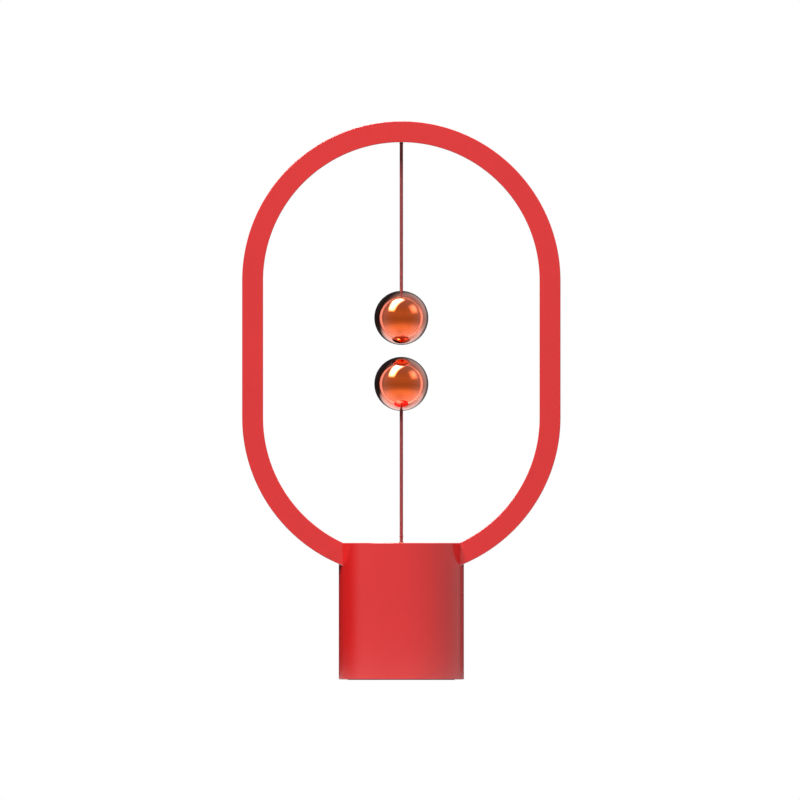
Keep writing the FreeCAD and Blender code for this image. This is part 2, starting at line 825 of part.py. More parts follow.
def return_spring():
    """Compression spring that pushes the slider down when the ball lets go."""
    bottom = collar_top + spring_wire_radius + slide_fit
    top = cap_bottom - spring_wire_radius - slide_fit
    height = top - bottom
    helix = Part.makeHelix(height / spring_turns, height, spring_mean_radius)
    corners = []
    for index in range(wire_flats + 1):
        angle = math.radians((index + 0.5) * 360 / wire_flats)
        x = spring_mean_radius + spring_wire_radius * math.cos(angle)
        corners.append(Vector(x, 0, spring_wire_radius * math.sin(angle)))
    section = Part.makePolygon(corners)
    coil = Part.Wire(helix.Edges).makePipeShell([section], True, True)
    coil.translate(Vector(0, 0, bottom))
    return coil


def lower_cord_tail():
    """Lower cord inside the base, from its bend down through the slider."""
    body = cylinder(cord_radius, slider_bottom - crimp_length, lower_pivot_z - bend_setback)
    return body.cut(bend_pocket(lower_pivot_z))


def lower_cord_crimp():
    """Ferrule squeezed on the cord's end, under the slider."""
    return tube(slider_radius, cord_radius, slider_bottom - crimp_length, slider_bottom)


# ---- electronics ----

def circuit_board():
    """Round board on the bosses, holding the socket and the driver."""
    disc = cylinder(board_radius, boss_top, board_top)
    for x, y in boss_places():
        disc = disc.cut(cylinder(screw_radius + screw_clearance, 0, base_height, x, y))
    return disc


def usb_socket_shell():
    """Metal sleeve of the power socket."""
    mouth = base_radius - usb_mouth_depth
    back = mouth - usb_length
    sleeve = rounded_bar(usb_width, usb_height, back, mouth, usb_centre())
    hollow = rounded_bar(usb_width - 2 * usb_wall, usb_height - 2 * usb_wall,
                         back + usb_back_wall, mouth, usb_centre())
    return sleeve.cut(hollow)


def usb_socket_tongue():
    """Contact tongue inside the socket."""
    mouth = base_radius - usb_mouth_depth
    back = mouth - usb_length + usb_back_wall
    half = usb_width / 2 - usb_tongue_margin
    half_height = usb_tongue_thickness / 2
    return block(-half, half, back, mouth - usb_tongue_margin,
                 usb_centre() - half_height, usb_centre() + half_height)


def wire_headers():
    """Three plugs on the board, for both light strips and the switch."""
    half_x = header_width / 2
    half_y = header_length / 2
    top = board_top + header_height
    places = [(-wire_hole_x, 0), (wire_hole_x, 0), (0, switch_middle_y)]
    plugs = [
        block(x - half_x, x + half_x, y - half_y, y + half_y, board_top, top) for x, y in places
    ]
    return Part.makeCompound(plugs)


def switch_leads():
    """Pair of wires from the switch's end terminals to their plug."""
    front, middle, rear = terminal_places()
    blade_end = chassis_top - terminal_length
    plug_top = board_top + header_height
    fall = blade_end - plug_top
    pair = []
    for y, side in ((front, -1), (rear, 1)):
        plug_y = middle + side * wire_spacing
        points = [
            Vector(0, y, blade_end),
            Vector(0, y, blade_end - 0.3 * fall),
            Vector(0, plug_y, plug_top + 0.3 * fall),
            Vector(0, plug_y, plug_top),
        ]
        pair.append(wire(points, wire_radius))
    return Part.makeCompound(pair)


def driver_capacitor():
    """Smoothing capacitor on the board."""
    top = board_top + capacitor_height
    return cylinder(capacitor_radius, board_top, top, -wire_hole_x, component_row_y)


def driver_inductor():
    """Coil of the light driver on the board."""
    half = inductor_size / 2
    return block(wire_hole_x - half, wire_hole_x + half, component_row_y - half,
                 component_row_y + half, board_top, board_top + inductor_height)


def driver_chip():
    """Driver chip on the board."""
    half_x = chip_length / 2
    half_y = chip_width / 2
    return block(-half_x, half_x, -half_y, half_y, board_top, board_top + chip_height)


# ---- screws ----

def cover_screws():
    """Three screws up through the bottom cover."""
    seat = foot_pad_thickness + screw_head_height
    item = screw(foot_pad_proud + cover_screw_length - seat)
    return Part.makeCompound([placed(item, Vector(x, y, seat)) for x, y in boss_places()])


def board_screws():
    """Three screws down through the board."""
    item = screw(board_screw_length)
    down = Vector(0, 0, -1)
    return Part.makeCompound([placed(item, Vector(x, y, board_top), down) for x, y in boss_places()])


def chassis_screws():
    """Four screws up through the chassis into the cap's posts."""
    item = screw(chassis_screw_length)
    return Part.makeCompound([placed(item, Vector(x, y, chassis_bottom)) for x, y in cap_post_places()])


def loop_screws():
    """Four screws up through the chassis into the loop's arms."""
    item = screw(loop_screw_length)
    return Part.makeCompound([placed(item, Vector(x, y, chassis_bottom)) for x, y in loop_screw_places()])


def micro_switch_screws():
    """Two screws through the switch into the chassis wall."""
    length = switch_width / 2 + switch_wall_end_x - shelf_gap
    item = screw(length, switch_screw_radius, switch_screw_head_radius)
    across = Vector(1, 0, 0)
    height = chassis_top + switch_screw_lift
    seats = [Vector(-switch_width / 2, y, height) for y in switch_screw_places()]
    return Part.makeCompound([placed(item, seat, across) for seat in seats])


def lamp_pieces():
    """Every node of the lamp, by name."""
    pieces = {
        "frame_front_shell": frame_shell(True),
        "frame_rear_shell": frame_shell(False),
        "diffuser": diffuser(),
        "led_strip_right": led_strip(),
        "led_strip_left": mirrored(led_strip()),
        "leds_right": leds(),
        "leds_left": mirrored(leds()),
        "led_leads_right": led_leads(),
        "led_leads_left": mirrored(led_leads()),
        "upper_cord_anchor": upper_cord_anchor(),
        "upper_cord_crimp": upper_cord_crimp(),
        "upper_cord_tail": upper_cord_tail(),
        "upper_cord_grommet": upper_cord_grommet(),
        "upper_cord_bend": cord_bend(upper_pivot_z),
        "upper_cord": hanging_cord(upper_pivot_z, upper_ball_z, 1),
        "lower_cord": hanging_cord(lower_pivot_z, lower_ball_z, -1),
        "lower_cord_bend": cord_bend(lower_pivot_z),
        "lower_cord_tail": lower_cord_tail(),
        "lower_cord_crimp": lower_cord_crimp(),
        "base_body": base_body(),
        "base_top_cap": base_top_cap(),
        "cord_eyelet": cord_eyelet(),
        "bottom_cover": bottom_cover(),
        "foot_pad": foot_pad(),
        "counterweight": counterweight(),
        "chassis": chassis(),
        "micro_switch_body": micro_switch_body(),
        "micro_switch_button": micro_switch_button(),
        "micro_switch_lever": micro_switch_lever(),
        "micro_switch_terminals": micro_switch_terminals(),
        "micro_switch_screws": micro_switch_screws(),
        "switch_slider": switch_slider(),
        "slider_clip": slider_clip(),
        "return_spring": return_spring(),
        "circuit_board": circuit_board(),
        "usb_socket_shell": usb_socket_shell(),
        "usb_socket_tongue": usb_socket_tongue(),
        "wire_headers": wire_headers(),
        "switch_leads": switch_leads(),
        "driver_capacitor": driver_capacitor(),
        "driver_inductor": driver_inductor(),
        "driver_chip": driver_chip(),
        "cover_screws": cover_screws(),
        "board_screws": board_screws(),
        "chassis_screws": chassis_screws(),
        "loop_screws": loop_screws(),
    }
    pieces.update(ball_pieces("upper", upper_ball_z, False))
    pieces.update(ball_pieces("lower", lower_ball_z, True))
    return pieces


os.makedirs("parts", exist_ok=True)
for node, shape in lamp_pieces().items():
    print(node, len(shape.Solids), "valid" if shape.isValid() else "NOT VALID", round(shape.Volume, 2))
    shape.exportStep("parts/" + node + ".step")
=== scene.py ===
import json
import math

import bmesh
import bpy
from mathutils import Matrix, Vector


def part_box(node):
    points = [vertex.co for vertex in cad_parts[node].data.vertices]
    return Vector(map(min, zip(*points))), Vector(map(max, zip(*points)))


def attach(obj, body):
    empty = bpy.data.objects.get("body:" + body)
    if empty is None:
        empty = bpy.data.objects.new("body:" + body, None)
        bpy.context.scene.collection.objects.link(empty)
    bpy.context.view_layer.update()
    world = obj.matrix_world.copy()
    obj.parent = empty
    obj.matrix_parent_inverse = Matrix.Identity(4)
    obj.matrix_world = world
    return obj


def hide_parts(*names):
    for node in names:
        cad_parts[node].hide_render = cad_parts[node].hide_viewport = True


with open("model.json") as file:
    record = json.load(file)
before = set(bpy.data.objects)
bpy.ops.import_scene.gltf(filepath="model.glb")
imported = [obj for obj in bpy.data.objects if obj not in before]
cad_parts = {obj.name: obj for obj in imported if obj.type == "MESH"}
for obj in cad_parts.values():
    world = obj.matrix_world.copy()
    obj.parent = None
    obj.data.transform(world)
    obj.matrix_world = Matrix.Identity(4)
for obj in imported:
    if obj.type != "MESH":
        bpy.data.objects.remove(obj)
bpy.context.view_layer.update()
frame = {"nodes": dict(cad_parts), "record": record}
bpy.ops.object.select_all(action="DESELECT")


# ---- Camera ----
# A straight front view without perspective, level with the middle of the lamp.
# The frame is 358 mm wide, so the whole lamp stands clear of its edges.

view_width = 0.358
view_middle = Vector((-0.0006, -1.0, 0.12527))

bpy.ops.object.camera_add(location=view_middle, rotation=(math.pi / 2, 0, 0))
camera = bpy.context.object
camera.name = "front_camera"
camera.data.type = "ORTHO"
camera.data.ortho_scale = view_width
bpy.context.scene.camera = camera
bpy.context.scene.view_settings.view_transform = "Standard"


# ---- Cords ----
# Two round braided cords of red polyester, 1.5 mm thick. The upper one hangs from the
# loop's top and carries a ball, the lower one comes out of the base and holds a ball down.
# Sixteen fine strands cross over and under each other round a straight core.

cord_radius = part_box("upper_cord")[1].x
strand_pairs = 8
braid_pitch = 0.0052
strand_relief = 0.00005
strand_dip = 0.45
mean_weave = 0.4
braid_step = 0.00012
braid_sides = 64


def new_material(name):
    """Empty material, with its nodes, links and the shader that they feed."""
    material = bpy.data.materials.new(name)
    material.use_nodes = True
    nodes = material.node_tree.nodes
    links = material.node_tree.links
    shader = nodes["Principled BSDF"]
    return material, nodes, links, shader


def object_noise(nodes, links, feature_size, detail=3.0, stretch=(1, 1, 1)):
    """Noise whose blotches are about feature_size metres across."""
    place = nodes.new("ShaderNodeTexCoord")
    mapping = nodes.new("ShaderNodeMapping")
    mapping.inputs["Scale"].default_value = stretch
    noise = nodes.new("ShaderNodeTexNoise")
    noise.inputs["Scale"].default_value = 1 / feature_size
    noise.inputs["Detail"].default_value = detail
    links.new(place.outputs["Object"], mapping.inputs["Vector"])
    links.new(mapping.outputs["Vector"], noise.inputs["Vector"])
    return noise.outputs["Fac"]


def ramp(nodes, links, source, low_colour, high_colour, low=0.3, high=0.7):
    """Colour that goes from one to the other as the source goes from low to high."""
    mix = nodes.new("ShaderNodeValToRGB")
    mix.color_ramp.elements[0].position = low
    mix.color_ramp.elements[1].position = high
    mix.color_ramp.elements[0].color = (*low_colour, 1)
    mix.color_ramp.elements[1].color = (*high_colour, 1)
    links.new(source, mix.inputs["Fac"])
    return mix.outputs["Color"]


def span(nodes, links, source, low, high):
    """Number that goes from low to high as the source goes from 0.3 to 0.7."""
    scale = nodes.new("ShaderNodeMapRange")
    scale.inputs["From Min"].default_value = 0.3
    scale.inputs["From Max"].default_value = 0.7
    scale.inputs["To Min"].default_value = low
    scale.inputs["To Max"].default_value = high
    links.new(source, scale.inputs["Value"])
    return scale.outputs["Result"]


def relief(nodes, links, source, shader, height, strength=1.0):
    """Small bumps, of the given height in metres, on the shader's surface."""
    bump = nodes.new("ShaderNodeBump")
    bump.inputs["Strength"].default_value = strength
    bump.inputs["Distance"].default_value = height
    links.new(source, bump.inputs["Height"])
    links.new(bump.outputs["Normal"], shader.inputs["Normal"])


def wear(piece, *materials):
    """Gives a piece these materials and no others."""
    piece.data.materials.clear()
    for material in materials:
        piece.data.materials.append(material)


def cord_finish():
    """Red polyester yarn with a soft sheen and a random fibre tone, with painted shade that makes
    it darker between the strands.
    """
    material, nodes, links, shader = new_material("braided_red_cord")
    crest = nodes.new("ShaderNodeAttribute")
    crest.attribute_name = "crest"
    fibres = object_noise(nodes, links, feature_size=0.00012, stretch=(1, 1, 0.35))
    fibre_tone_and_strand_shade = nodes.new("ShaderNodeMath")
    fibre_tone_and_strand_shade.operation = "MULTIPLY_ADD"
    fibre_tone_and_strand_shade.inputs[1].default_value = 0.35
    links.new(fibres, fibre_tone_and_strand_shade.inputs[0])
    links.new(crest.outputs["Fac"], fibre_tone_and_strand_shade.inputs[2])
    # Painted shade: the colour is darker where the strands dip between each other, plus a random
    # fibre tone.
    colour = ramp(nodes, links, fibre_tone_and_strand_shade.outputs["Value"], (0.20, 0.042, 0.042), (0.28, 0.051, 0.051),
                  low=0.25, high=1.0)
    links.new(colour, shader.inputs["Base Color"])
    links.new(span(nodes, links, fibres, 0.6, 0.72), shader.inputs["Roughness"])
    shader.inputs["Specular IOR Level"].default_value = 0.25
    relief(nodes, links, fibres, shader, height=0.00002, strength=0.5)
    return material


cord_material = cord_finish()


def weave_height(turns, along):
    """Height of the braid, 0 to 1, at a share of the way round and a distance along."""
    right = (turns + along / braid_pitch) * strand_pairs
    left = (turns - along / braid_pitch) * strand_pairs
    right_crest = abs(math.sin(math.pi * right))
    left_crest = abs(math.sin(math.pi * left))
    if (math.floor(right) + math.floor(left)) % 2:
        return right_crest * (1 - strand_dip + strand_dip * left_crest)
    return left_crest * (1 - strand_dip + strand_dip * right_crest)


def route_curve(name, route):
    """Smooth NURBS line with the route's points as its control points."""
    curve = bpy.data.curves.new(name, "CURVE")
    curve.dimensions = "3D"
    line = curve.splines.new("NURBS")
    line.points.add(len(route) - 1)
    for point, place in zip(line.points, route):
        point.co = (*place, 1)
    line.order_u = 3
    line.use_endpoint_u = True
    line.resolution_u = 16
    return curve


def line_points(curve):
    """Points along a curve's own line."""
    carrier = bpy.data.objects.new(curve.name, curve)
    bpy.context.collection.objects.link(carrier)
    bpy.context.view_layer.update()
    mesh = bpy.data.meshes.new_from_object(carrier)
    points = [vertex.co.copy() for vertex in mesh.vertices]
    bpy.data.objects.remove(carrier)
    bpy.data.meshes.remove(mesh)
    return points


def braided_cord(name, route):
    """Braided tube along a route. Returns it with the points of its centre line."""
    path = line_points(route_curve(name + "_route", route))
    stations = [0.0]
    for before, after in zip(path, path[1:]):
        stations.append(stations[-1] + (after - before).length)
    rings = int(stations[-1] / braid_step)
    mesh = bmesh.new()
    crest = mesh.verts.layers.float.new("crest")
    loops = []
    for ring in range(rings + 1):
        along = stations[-1] * ring / rings
        piece = max(i for i, at in enumerate(stations[:-1]) if at <= along)
        share = (along - stations[piece]) / (stations[piece + 1] - stations[piece])
        middle = path[piece].lerp(path[piece + 1], share)
        forward = (path[piece + 1] - path[piece]).normalized()
        side = forward.cross(Vector((0, 1, 0))).normalized()
        other = forward.cross(side)
        loop = []
        for step in range(braid_sides):
            angle = 2 * math.pi * step / braid_sides
            height = weave_height(step / braid_sides, along)
            radius = cord_radius + strand_relief * (height - mean_weave)
            out = side * math.cos(angle) + other * math.sin(angle)
            vertex = mesh.verts.new(middle + out * radius)
            # The weave height also sets the painted shade between the strands.
            vertex[crest] = height
            loop.append(vertex)
        loops.append(loop)
    for before, loop in zip(loops, loops[1:]):
        for step in range(braid_sides):
            after = (step + 1) % braid_sides
            mesh.faces.new((before[step], before[after], loop[after], loop[step]))
    mesh.faces.new(list(reversed(loops[0])))
    mesh.faces.new(loops[-1])
    bmesh.ops.recalc_face_normals(mesh, faces=mesh.faces)
    data = bpy.data.meshes.new(name)
    mesh.to_mesh(data)
    mesh.free()
    cord = bpy.data.objects.new(name, data)
    bpy.context.collection.objects.link(cord)
    data.shade_smooth()
    wear(cord, cord_material)
    return cord, path


def straight_route(top, bottom):
    """Five control points on the upright line between two heights."""
    return [(0, 0, top + (bottom - top) * share) for share in (0, 0.25, 0.5, 0.75, 1)]


elbow_radius = 0.00087
elbow_reach = 0.00061
# Level of the painted strand shade on the elbows, between a dip and a crest.
elbow_crest = 0.6


def cord_elbow(name, node, body):
    """Rounded stretch of cord that fills a bend. Returns it with its middle's height."""
    low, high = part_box(node)
    bpy.ops.mesh.primitive_ico_sphere_add(subdivisions=4, radius=elbow_radius,
                                          location=(low + high) / 2)
    bpy.ops.object.transform_apply(location=True, rotation=False, scale=False)
    elbow = bpy.context.object
    elbow.name = name
    elbow.data.shade_smooth()
    crest = elbow.data.attributes.new("crest", "FLOAT", "POINT")
    for corner in crest.data:
        corner.value = elbow_crest
    wear(elbow, cord_material)
    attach(elbow, body)
    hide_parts(node)
    return elbow, (low.z + high.z) / 2


upper_elbow, upper_bend_height = cord_elbow("upper_cord_elbow", "upper_cord_bend", "upper_bend")
upper_cord_top = upper_bend_height - elbow_reach
upper_cord_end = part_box("upper_cord")[0].z
upper_cord, upper_line = braided_cord("upper_braided_cord",
                                      straight_route(upper_cord_top, upper_cord_end))
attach(upper_cord, "upper_ball")
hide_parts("upper_cord")

lower_elbow, lower_bend_height = cord_elbow("lower_cord_elbow", "lower_cord_bend", "lower_bend")
lower_cord_foot = lower_bend_height + elbow_reach
lower_cord_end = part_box("lower_cord")[1].z
lower_cord, lower_line = braided_cord("lower_braided_cord",
                                      straight_route(lower_cord_foot, lower_cord_end))
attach(lower_cord, "lower_ball")
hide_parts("lower_cord")

tail_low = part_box("lower_cord_tail")[0].z
tail_high = lower_bend_height - elbow_reach
lower_tail = braided_cord("lower_cord_in_base", straight_route(tail_low, tail_high))[0]
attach(lower_tail, "switch_slide")
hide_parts("lower_cord_tail")

wear(frame["nodes"]["upper_cord_tail"], cord_material)


# ---- Loop casing ----
# The loop is a bar moulded in two halves, front and rear, in solid red plastic. They meet
# on a fine line round the outside and leave a channel open towards the middle for the light.
# Its mould was spark-eroded, which leaves an even, very fine grain.

casing_low, casing_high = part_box("frame_front_shell")
loop_radius = casing_high.x
loop_depth = -2 * casing_low.y
loop_thickness = 0.0094
side_wall = 0.0018
outer_wall = 0.0018
long_edge_round = 0.0003
parting_chamfer = 0.00012
lip_chamfer = 0.00015
arm_end_x = 0.013
quarter_steps = 72
top_centre = casing_high.z - loop_radius
low_centre = casing_low.z + math.sqrt(loop_radius ** 2 - arm_end_x ** 2)
inner_radius = loop_radius - loop_thickness
inner_top = top_centre + inner_radius


def red_finish(name, roughness):
    """Red ABS with a fine eroded grain, a little glossier where it is smoother."""
    material, nodes, links, shader = new_material(name)
    cloud = object_noise(nodes, links, 0.03)
    grain = object_noise(nodes, links, 0.00022, detail=4)
    colour = ramp(nodes, links, cloud, (0.68, 0.0120, 0.0125), (0.71, 0.0130, 0.0135))
    links.new(colour, shader.inputs["Base Color"])
    gloss = span(nodes, links, grain, roughness - 0.04, roughness + 0.04)
    links.new(gloss, shader.inputs["Roughness"])
    shader.inputs["IOR"].default_value = 1.57
    shader.inputs["Specular IOR Level"].default_value = 1.0
    relief(nodes, links, grain, shader, height=0.000006, strength=0.5)
    return material


red_material = red_finish("eroded_red", 0.18)


def middle_of(item):
    """Middle of a vertex, edge or face."""
    if isinstance(item, bmesh.types.BMVert):
        return item.co.copy()
    corners = [vertex.co for vertex in item.verts]
    return sum(corners, Vector()) / len(corners)


def choose(kind, test):
    """Selects the vertices, edges or faces whose middle passes the test, and no others."""
    bpy.ops.mesh.select_mode(type={"verts": "VERT", "edges": "EDGE", "faces": "FACE"}[kind])
    bpy.ops.mesh.select_all(action="DESELECT")
    mesh = bmesh.from_edit_mesh(bpy.context.object.data)
    for item in getattr(mesh, kind):
        item.select_set(test(middle_of(item)))
    mesh.select_flush_mode()
    bmesh.update_edit_mesh(bpy.context.object.data)


def near(value, target):
    """True if two lengths differ by less than a hundredth of a millimetre."""
    return abs(value - target) < 0.00001


def section_plate(name, y0, y1, z0, z1):
    """Flat upright plate in the plane x = 0, left in edit mode."""
    bpy.ops.mesh.primitive_plane_add(size=1, location=(0, 0, 0))
    plate = bpy.context.object
    plate.name = name
    bpy.ops.object.mode_set(mode="EDIT")
    bpy.ops.transform.resize(value=(z1 - z0, y1 - y0, 1))
    for vertex in bmesh.from_edit_mesh(plate.data).verts:
        vertex.co = Vector((0, vertex.co.y, vertex.co.x))
    bpy.ops.transform.translate(value=(0, (y0 + y1) / 2, (z0 + z1) / 2))
    return plate


def run_round_loop(stop_x):
    """Spins the section in edit mode from the loop's crown, down the right side and along
    the lower arc, ends it at stop_x, and mirrors it to the left side."""
    piece = bpy.context.object
    bpy.ops.mesh.select_all(action="SELECT")
    bpy.ops.mesh.spin(steps=quarter_steps, angle=math.pi / 2, center=(0, 0, top_centre),
                      axis=(0, -1, 0))
    choose("faces", lambda at: near(at.z, top_centre))
    straight = (0, 0, low_centre - top_centre)
    bpy.ops.mesh.extrude_region_move(TRANSFORM_OT_translate={"value": straight})
    choose("faces", lambda at: near(at.z, low_centre))
    bpy.ops.mesh.spin(steps=quarter_steps, angle=math.pi / 2, center=(0, 0, low_centre),
                      axis=(0, -1, 0))
    choose("faces", lambda at: near(at.x, 0) and at.z > top_centre)
    bpy.ops.mesh.delete(type="FACE")
    choose("faces", lambda at: near(at.x, 0) and at.z < low_centre)
    bpy.ops.mesh.delete(type="FACE")
    if stop_x:
        choose("faces", lambda at: at.z < low_centre)
        bpy.ops.mesh.bisect(plane_co=(stop_x, 0, 0), plane_no=(1, 0, 0), use_fill=True,
                            clear_inner=True)
    bpy.ops.object.mode_set(mode="OBJECT")
    mirror = piece.modifiers.new("left_side", "MIRROR")
    mirror.use_clip = True
    bpy.ops.object.modifier_apply(modifier=mirror.name)
    clean_up(piece)


def clean_up(piece):
    """Merges doubles and turns every face outwards."""
    bpy.ops.object.mode_set(mode="EDIT")
    bpy.ops.mesh.select_all(action="SELECT")
    bpy.ops.mesh.remove_doubles(threshold=0.000001)
    bpy.ops.mesh.normals_make_consistent(inside=False)
    bpy.ops.object.mode_set(mode="OBJECT")


def smooth(piece, angle=35):
    """Smooth shading over gentle bends, with broad faces kept flat."""
    bpy.ops.object.shade_smooth_by_angle(angle=math.radians(angle))
    weigh = piece.modifiers.new("weighted_normals", "WEIGHTED_NORMAL")
    weigh.keep_sharp = True
    bpy.ops.object.modifier_apply(modifier=weigh.name)
    piece.select_set(False)


outer_top = inner_top + loop_thickness
channel_front = casing_low.y + side_wall
channel_top = outer_top - outer_wall
front_casing = section_plate("loop_front_casing", casing_low.y, 0, inner_top, outer_top)
bpy.ops.mesh.select_all(action="SELECT")
bpy.ops.mesh.bisect(plane_co=(0, channel_front, 0), plane_no=(0, 1, 0))
bpy.ops.mesh.select_all(action="SELECT")
bpy.ops.mesh.bisect(plane_co=(0, 0, channel_top), plane_no=(0, 0, 1))
choose("faces", lambda at: at.y > channel_front and at.z < channel_top)
bpy.ops.mesh.delete(type="FACE")
bpy.ops.mesh.select_all(action="SELECT")
bpy.ops.mesh.dissolve_limited(angle_limit=math.radians(1))
choose("verts", lambda at: near(at.y, casing_low.y))
bpy.ops.mesh.bevel(offset=long_edge_round, segments=6, affect="VERTICES")
choose("verts", lambda at: near(at.y, 0) and near(at.z, outer_top))
bpy.ops.mesh.bevel(offset=parting_chamfer, segments=1, affect="VERTICES")
choose("verts", lambda at: near(at.y, channel_front) and near(at.z, inner_top))
bpy.ops.mesh.bevel(offset=lip_chamfer, segments=2, affect="VERTICES")
run_round_loop(arm_end_x)
wear(front_casing, red_material)
smooth(front_casing)

rear_casing = front_casing.copy()
rear_casing.data = front_casing.data.copy()
rear_casing.name = "loop_rear_casing"
bpy.context.collection.objects.link(rear_casing)
bpy.context.view_layer.objects.active = rear_casing
rear_casing.select_set(True)
bpy.ops.object.mode_set(mode="EDIT")
bpy.ops.mesh.select_all(action="SELECT")
bpy.ops.transform.resize(value=(1, -1, 1), center_override=(0, 0, 0))
bpy.ops.object.mode_set(mode="OBJECT")
clean_up(rear_casing)
smooth(rear_casing)

for casing, node in ((front_casing, "frame_front_shell"), (rear_casing, "frame_rear_shell")):
    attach(casing, "stand")
    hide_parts(node)


# ---- Diffuser ----
# A strip of milk-white acrylic closes the loop's channel, half a millimetre below its lips.
# The lamp is on, so it glows softly and evenly. The upper cord's bush sits in a hole in it.

diffuser_recess = 0.0005
diffuser_thickness = 0.0015
diffuser_clearance = 0.00005
diffuser_half_width = loop_depth / 2 - side_wall - diffuser_clearance
diffuser_low = inner_top + diffuser_recess
diffuser_edge = 0.0001
diffuser_end_x = 0.0203
bush_hole_radius = 0.00165
bush_tool_length = 0.01


def milk_finish():
    """Milk-white acrylic, lit from behind."""
    material, nodes, links, shader = new_material("milk_white_acrylic")
    cloud = object_noise(nodes, links, 0.012)
    fine = object_noise(nodes, links, 0.0004)
    colour = ramp(nodes, links, cloud, (0.74, 0.73, 0.71), (0.78, 0.77, 0.75))
    links.new(colour, shader.inputs["Base Color"])
    links.new(span(nodes, links, fine, 0.42, 0.55), shader.inputs["Roughness"])
    shader.inputs["Emission Color"].default_value = (1.0, 0.93, 0.84, 1)
    shader.inputs["Emission Strength"].default_value = 0.5
    relief(nodes, links, fine, shader, height=0.000004, strength=0.4)
    return material


diffuser = section_plate("milk_diffuser_strip", -diffuser_half_width, diffuser_half_width,
                         diffuser_low, diffuser_low + diffuser_thickness)
choose("verts", lambda at: near(at.z, diffuser_low))
bpy.ops.mesh.bevel(offset=diffuser_edge, segments=2, affect="VERTICES")
run_round_loop(diffuser_end_x)


def cut_out(piece, tool):
    """Cuts the tool's shape out of the piece and removes the tool."""
    bpy.context.view_layer.objects.active = piece
    cut = piece.modifiers.new("cut", "BOOLEAN")
    cut.operation = "DIFFERENCE"
    cut.solver = "EXACT"
    cut.object = tool
    bpy.ops.object.modifier_apply(modifier=cut.name)
    bpy.data.objects.remove(tool)
    bpy.ops.object.select_all(action="DESELECT")
    piece.select_set(True)
    bpy.context.view_layer.objects.active = piece


bpy.ops.mesh.primitive_cylinder_add(vertices=48, radius=bush_hole_radius, depth=bush_tool_length,
                                    location=(0, 0, inner_top))
cut_out(diffuser, bpy.context.object)
wear(diffuser, milk_finish())
smooth(diffuser)
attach(diffuser, "stand")
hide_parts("diffuser")


# ---- Base wall and lid ----
# The base is a round cup moulded in the loop's red plastic, with the same grain. Its lid
# lies flush inside the rim. The loop's arms pass through wall and lid in close slots, and
# the power socket looks out of a rounded pocket at the back.

wall_low, wall_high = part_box("base_body")
base_radius = wall_high.x
base_top = wall_high.z
base_bottom = wall_low.z
rim_wall = 0.0020
upper_wall = 0.0028
lower_wall = 0.0034
lid_thickness = 0.0024
rim_radius = base_radius - rim_wall
upper_bore = base_radius - upper_wall
lower_bore = base_radius - lower_wall
lid_underside = base_top - lid_thickness
chassis_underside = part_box("chassis")[0].z
cover_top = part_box("bottom_cover")[1].z
base_edge_round = 0.0003
rim_edge_round = 0.00012
turned_sides = 256
arm_clearance = 0.00003


def turned(name, corners, rounded=(), sides=turned_sides):
    """Ring turned from a closed section, given as corners (radius, height). The corners
    listed in rounded, as (corner number, radius, segments), get round edges."""
    start_radius, start_height = corners[0]
    bpy.ops.mesh.primitive_circle_add(vertices=sides, radius=start_radius, location=(0, 0, 0))
    piece = bpy.context.object
    piece.name = name
    bpy.ops.object.mode_set(mode="EDIT")
    bpy.ops.transform.translate(value=(0, 0, start_height))
    for (radius, height), (next_radius, next_height) in zip(corners, corners[1:]):
        rise = (0, 0, next_height - height)
        bpy.ops.mesh.extrude_edges_move(TRANSFORM_OT_translate={"value": rise})
        grow = next_radius / radius
        bpy.ops.transform.resize(value=(grow, grow, 1), center_override=(0, 0, 0))
    ends = (corners[0], corners[-1])
    choose("edges", lambda at: any(on_ring(at, radius, height, sides) for radius, height in ends))
    bpy.ops.mesh.bridge_edge_loops()
    for number, edge_radius, segments in rounded:
        radius, height = corners[number]
        choose("edges", lambda at: on_ring(at, radius, height, sides))
        bpy.ops.mesh.bevel(offset=edge_radius, segments=segments, affect="EDGES")
    bpy.ops.mesh.select_all(action="SELECT")
    bpy.ops.mesh.normals_make_consistent(inside=False)
    bpy.ops.object.mode_set(mode="OBJECT")
    return piece


def on_ring(at, radius, height, sides):
    """True if an edge's middle lies on a turned ring, half way between two of its corners."""
    middle_radius = radius * math.cos(math.pi / sides)
    return near(at.z, height) and near(math.hypot(at.x, at.y), middle_radius)


def arm_slot_tool():
    """Loop with a little room all round it, to cut the arms' slots with."""
    half = loop_depth / 2 + arm_clearance
    tool = section_plate("arm_slot_tool", -half, half,
                         inner_top - arm_clearance, outer_top + arm_clearance)
    run_round_loop(0)
    return tool


base_wall = turned(
    "base_wall",
    [(base_radius, base_bottom), (base_radius, base_top),
     (rim_radius, base_top), (rim_radius, lid_underside),
     (upper_bore, lid_underside), (upper_bore, chassis_underside),
     (lower_bore, chassis_underside), (lower_bore, cover_top),
     (rim_radius, cover_top), (rim_radius, base_bottom)],
    [(0, base_edge_round, 4), (1, base_edge_round, 4), (2, rim_edge_round, 2)],
)
cut_out(base_wall, arm_slot_tool())

socket_low, socket_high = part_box("usb_socket_shell")
socket_middle = (socket_low.z + socket_high.z) / 2
socket_width = socket_high.x - socket_low.x
socket_height = socket_high.z - socket_low.z
socket_room = 0.0006
opening_start = 0.02
pocket_width = 0.0126
pocket_height = 0.0070
pocket_gap = 0.0001
pocket_floor = socket_high.y + pocket_gap
pocket_tool_end = base_radius + 0.01


